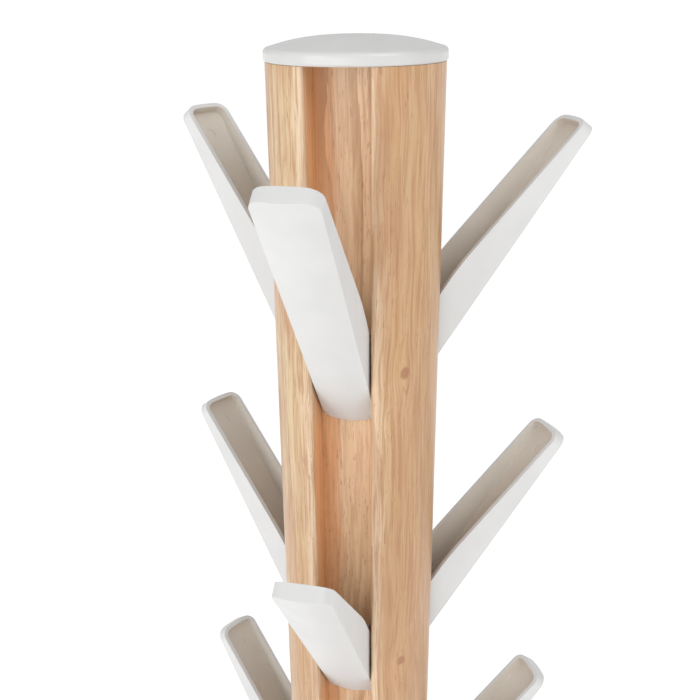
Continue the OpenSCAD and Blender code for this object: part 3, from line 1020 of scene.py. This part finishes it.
for joint in frame["joints"]:
    bracket = joint["child"].replace("hook_", "hinge_bracket_")
    pin = joint["child"].replace("hook_", "hinge_pin_")
    refineNode(bracket, bracketPlastic, "stand", hardwareValues["bracketEdge"])
    refineNode(pin, platedSteel, joint["child"], hardwareValues["pinEdge"])
refineNode("base_bolt", platedSteel, "stand", hardwareValues["boltEdge"])
refineNode("base_washer", platedSteel, "stand", hardwareValues["washerEdge"])

# fasteners that stay as they are in the CAD model: all but the bracket screws are out of sight
plainNodes = {
    "bracket_screws": platedSteel,
    "base_pins": platedSteel,
    "joint_studs": platedSteel,
    "cap_screw": platedSteel,
    "threaded_inserts": insertBrass,
    "joint_dowels": dowelWood,
}
for node, material in plainNodes.items():
    for slot in bpy.data.objects[node].material_slots:
        slot.material = material
print("hardware finished")

stageValues = {
    "floorSize": 600.0,
    "floorTone": (0.93, 0.93, 0.93),
    "floorRoughness": 0.85,
    "glowNear": 0.24,  # the floor fades to a clean white, as a lit studio sweep does
    "glowFar": 0.42,
    "fadeFrom": 0.5,
    "fadeTo": 1.3,
    "surround": 0.66,  # strength of the light from all round
    "aimBelow": 0.25,  # the lights point this far below the wood's top
    "keyPlace": (-1.35, -1.75, 0.30),  # from the top of the wood
    "keySize": (1.2, 1.4),
    "keyPower": 13.5,
    "frontPlace": (-0.30, -2.20, -0.20),
    "frontSize": (0.7, 0.9),
    "frontPower": 5.0,
    "sidePlace": (1.30, -1.05, 1.50),
    "sideSize": (1.2, 1.2),
    "sidePower": 15.0,
}


def makeFloor():
    v = stageValues
    leaveAll()
    bpy.ops.mesh.primitive_plane_add(size=v["floorSize"], location=(0, 0, 0))
    floor = bpy.context.active_object
    floor.name = floor.data.name = "studioFloor"
    n = Nodes("paleFloor")
    darker = tuple(c * 0.98 for c in v["floorTone"])
    tone = n.mix(n.noise(n.place, 3.0), v["floorTone"], darker)
    away = n.vector("LENGTH", n.place)
    glow = n.ramp(away, v["fadeFrom"], v["fadeTo"], v["glowNear"], v["glowFar"])
    n.feed(n.shader, "Emission Strength", glow)
    floor.data.materials.append(n.finish(tone, v["floorRoughness"], Emission_Color=(1, 1, 1, 1)))


def addLight(name, place, size, power):
    data = bpy.data.lights.new(name, "AREA")
    data.shape = "RECTANGLE"
    data.size, data.size_y = size
    data.energy = power
    light = bpy.data.objects.new(name, data)
    bpy.context.scene.collection.objects.link(light)
    target = Vector((0, 0, woodTop - stageValues["aimBelow"]))
    light.location = Vector(place) + Vector((0, 0, woodTop))
    light.rotation_euler = (target - light.location).to_track_quat("-Z", "Y").to_euler()


def lightStage():
    v = stageValues
    world = bpy.data.worlds.new("softStudio")
    bpy.context.scene.world = world
    world.use_nodes = True
    surround = world.node_tree.nodes["Background"]
    surround.inputs["Color"].default_value = (1, 1, 1, 1)
    # the backdrop itself is seen as clean white, and lights the stand with the surround's strength
    path = world.node_tree.nodes.new("ShaderNodeLightPath")
    seen = world.node_tree.nodes.new("ShaderNodeMapRange")
    seen.inputs["To Min"].default_value = v["surround"]
    world.node_tree.links.new(path.outputs["Is Camera Ray"], seen.inputs["Value"])
    world.node_tree.links.new(seen.outputs["Result"], surround.inputs["Strength"])
    addLight("keyLight", v["keyPlace"], v["keySize"], v["keyPower"])
    addLight("frontLight", v["frontPlace"], v["frontSize"], v["frontPower"])
    addLight("sideLight", v["sidePlace"], v["sideSize"], v["sidePower"])
    bpy.context.scene.view_settings.view_transform = "Standard"


makeFloor()
lightStage()
print("stage set")
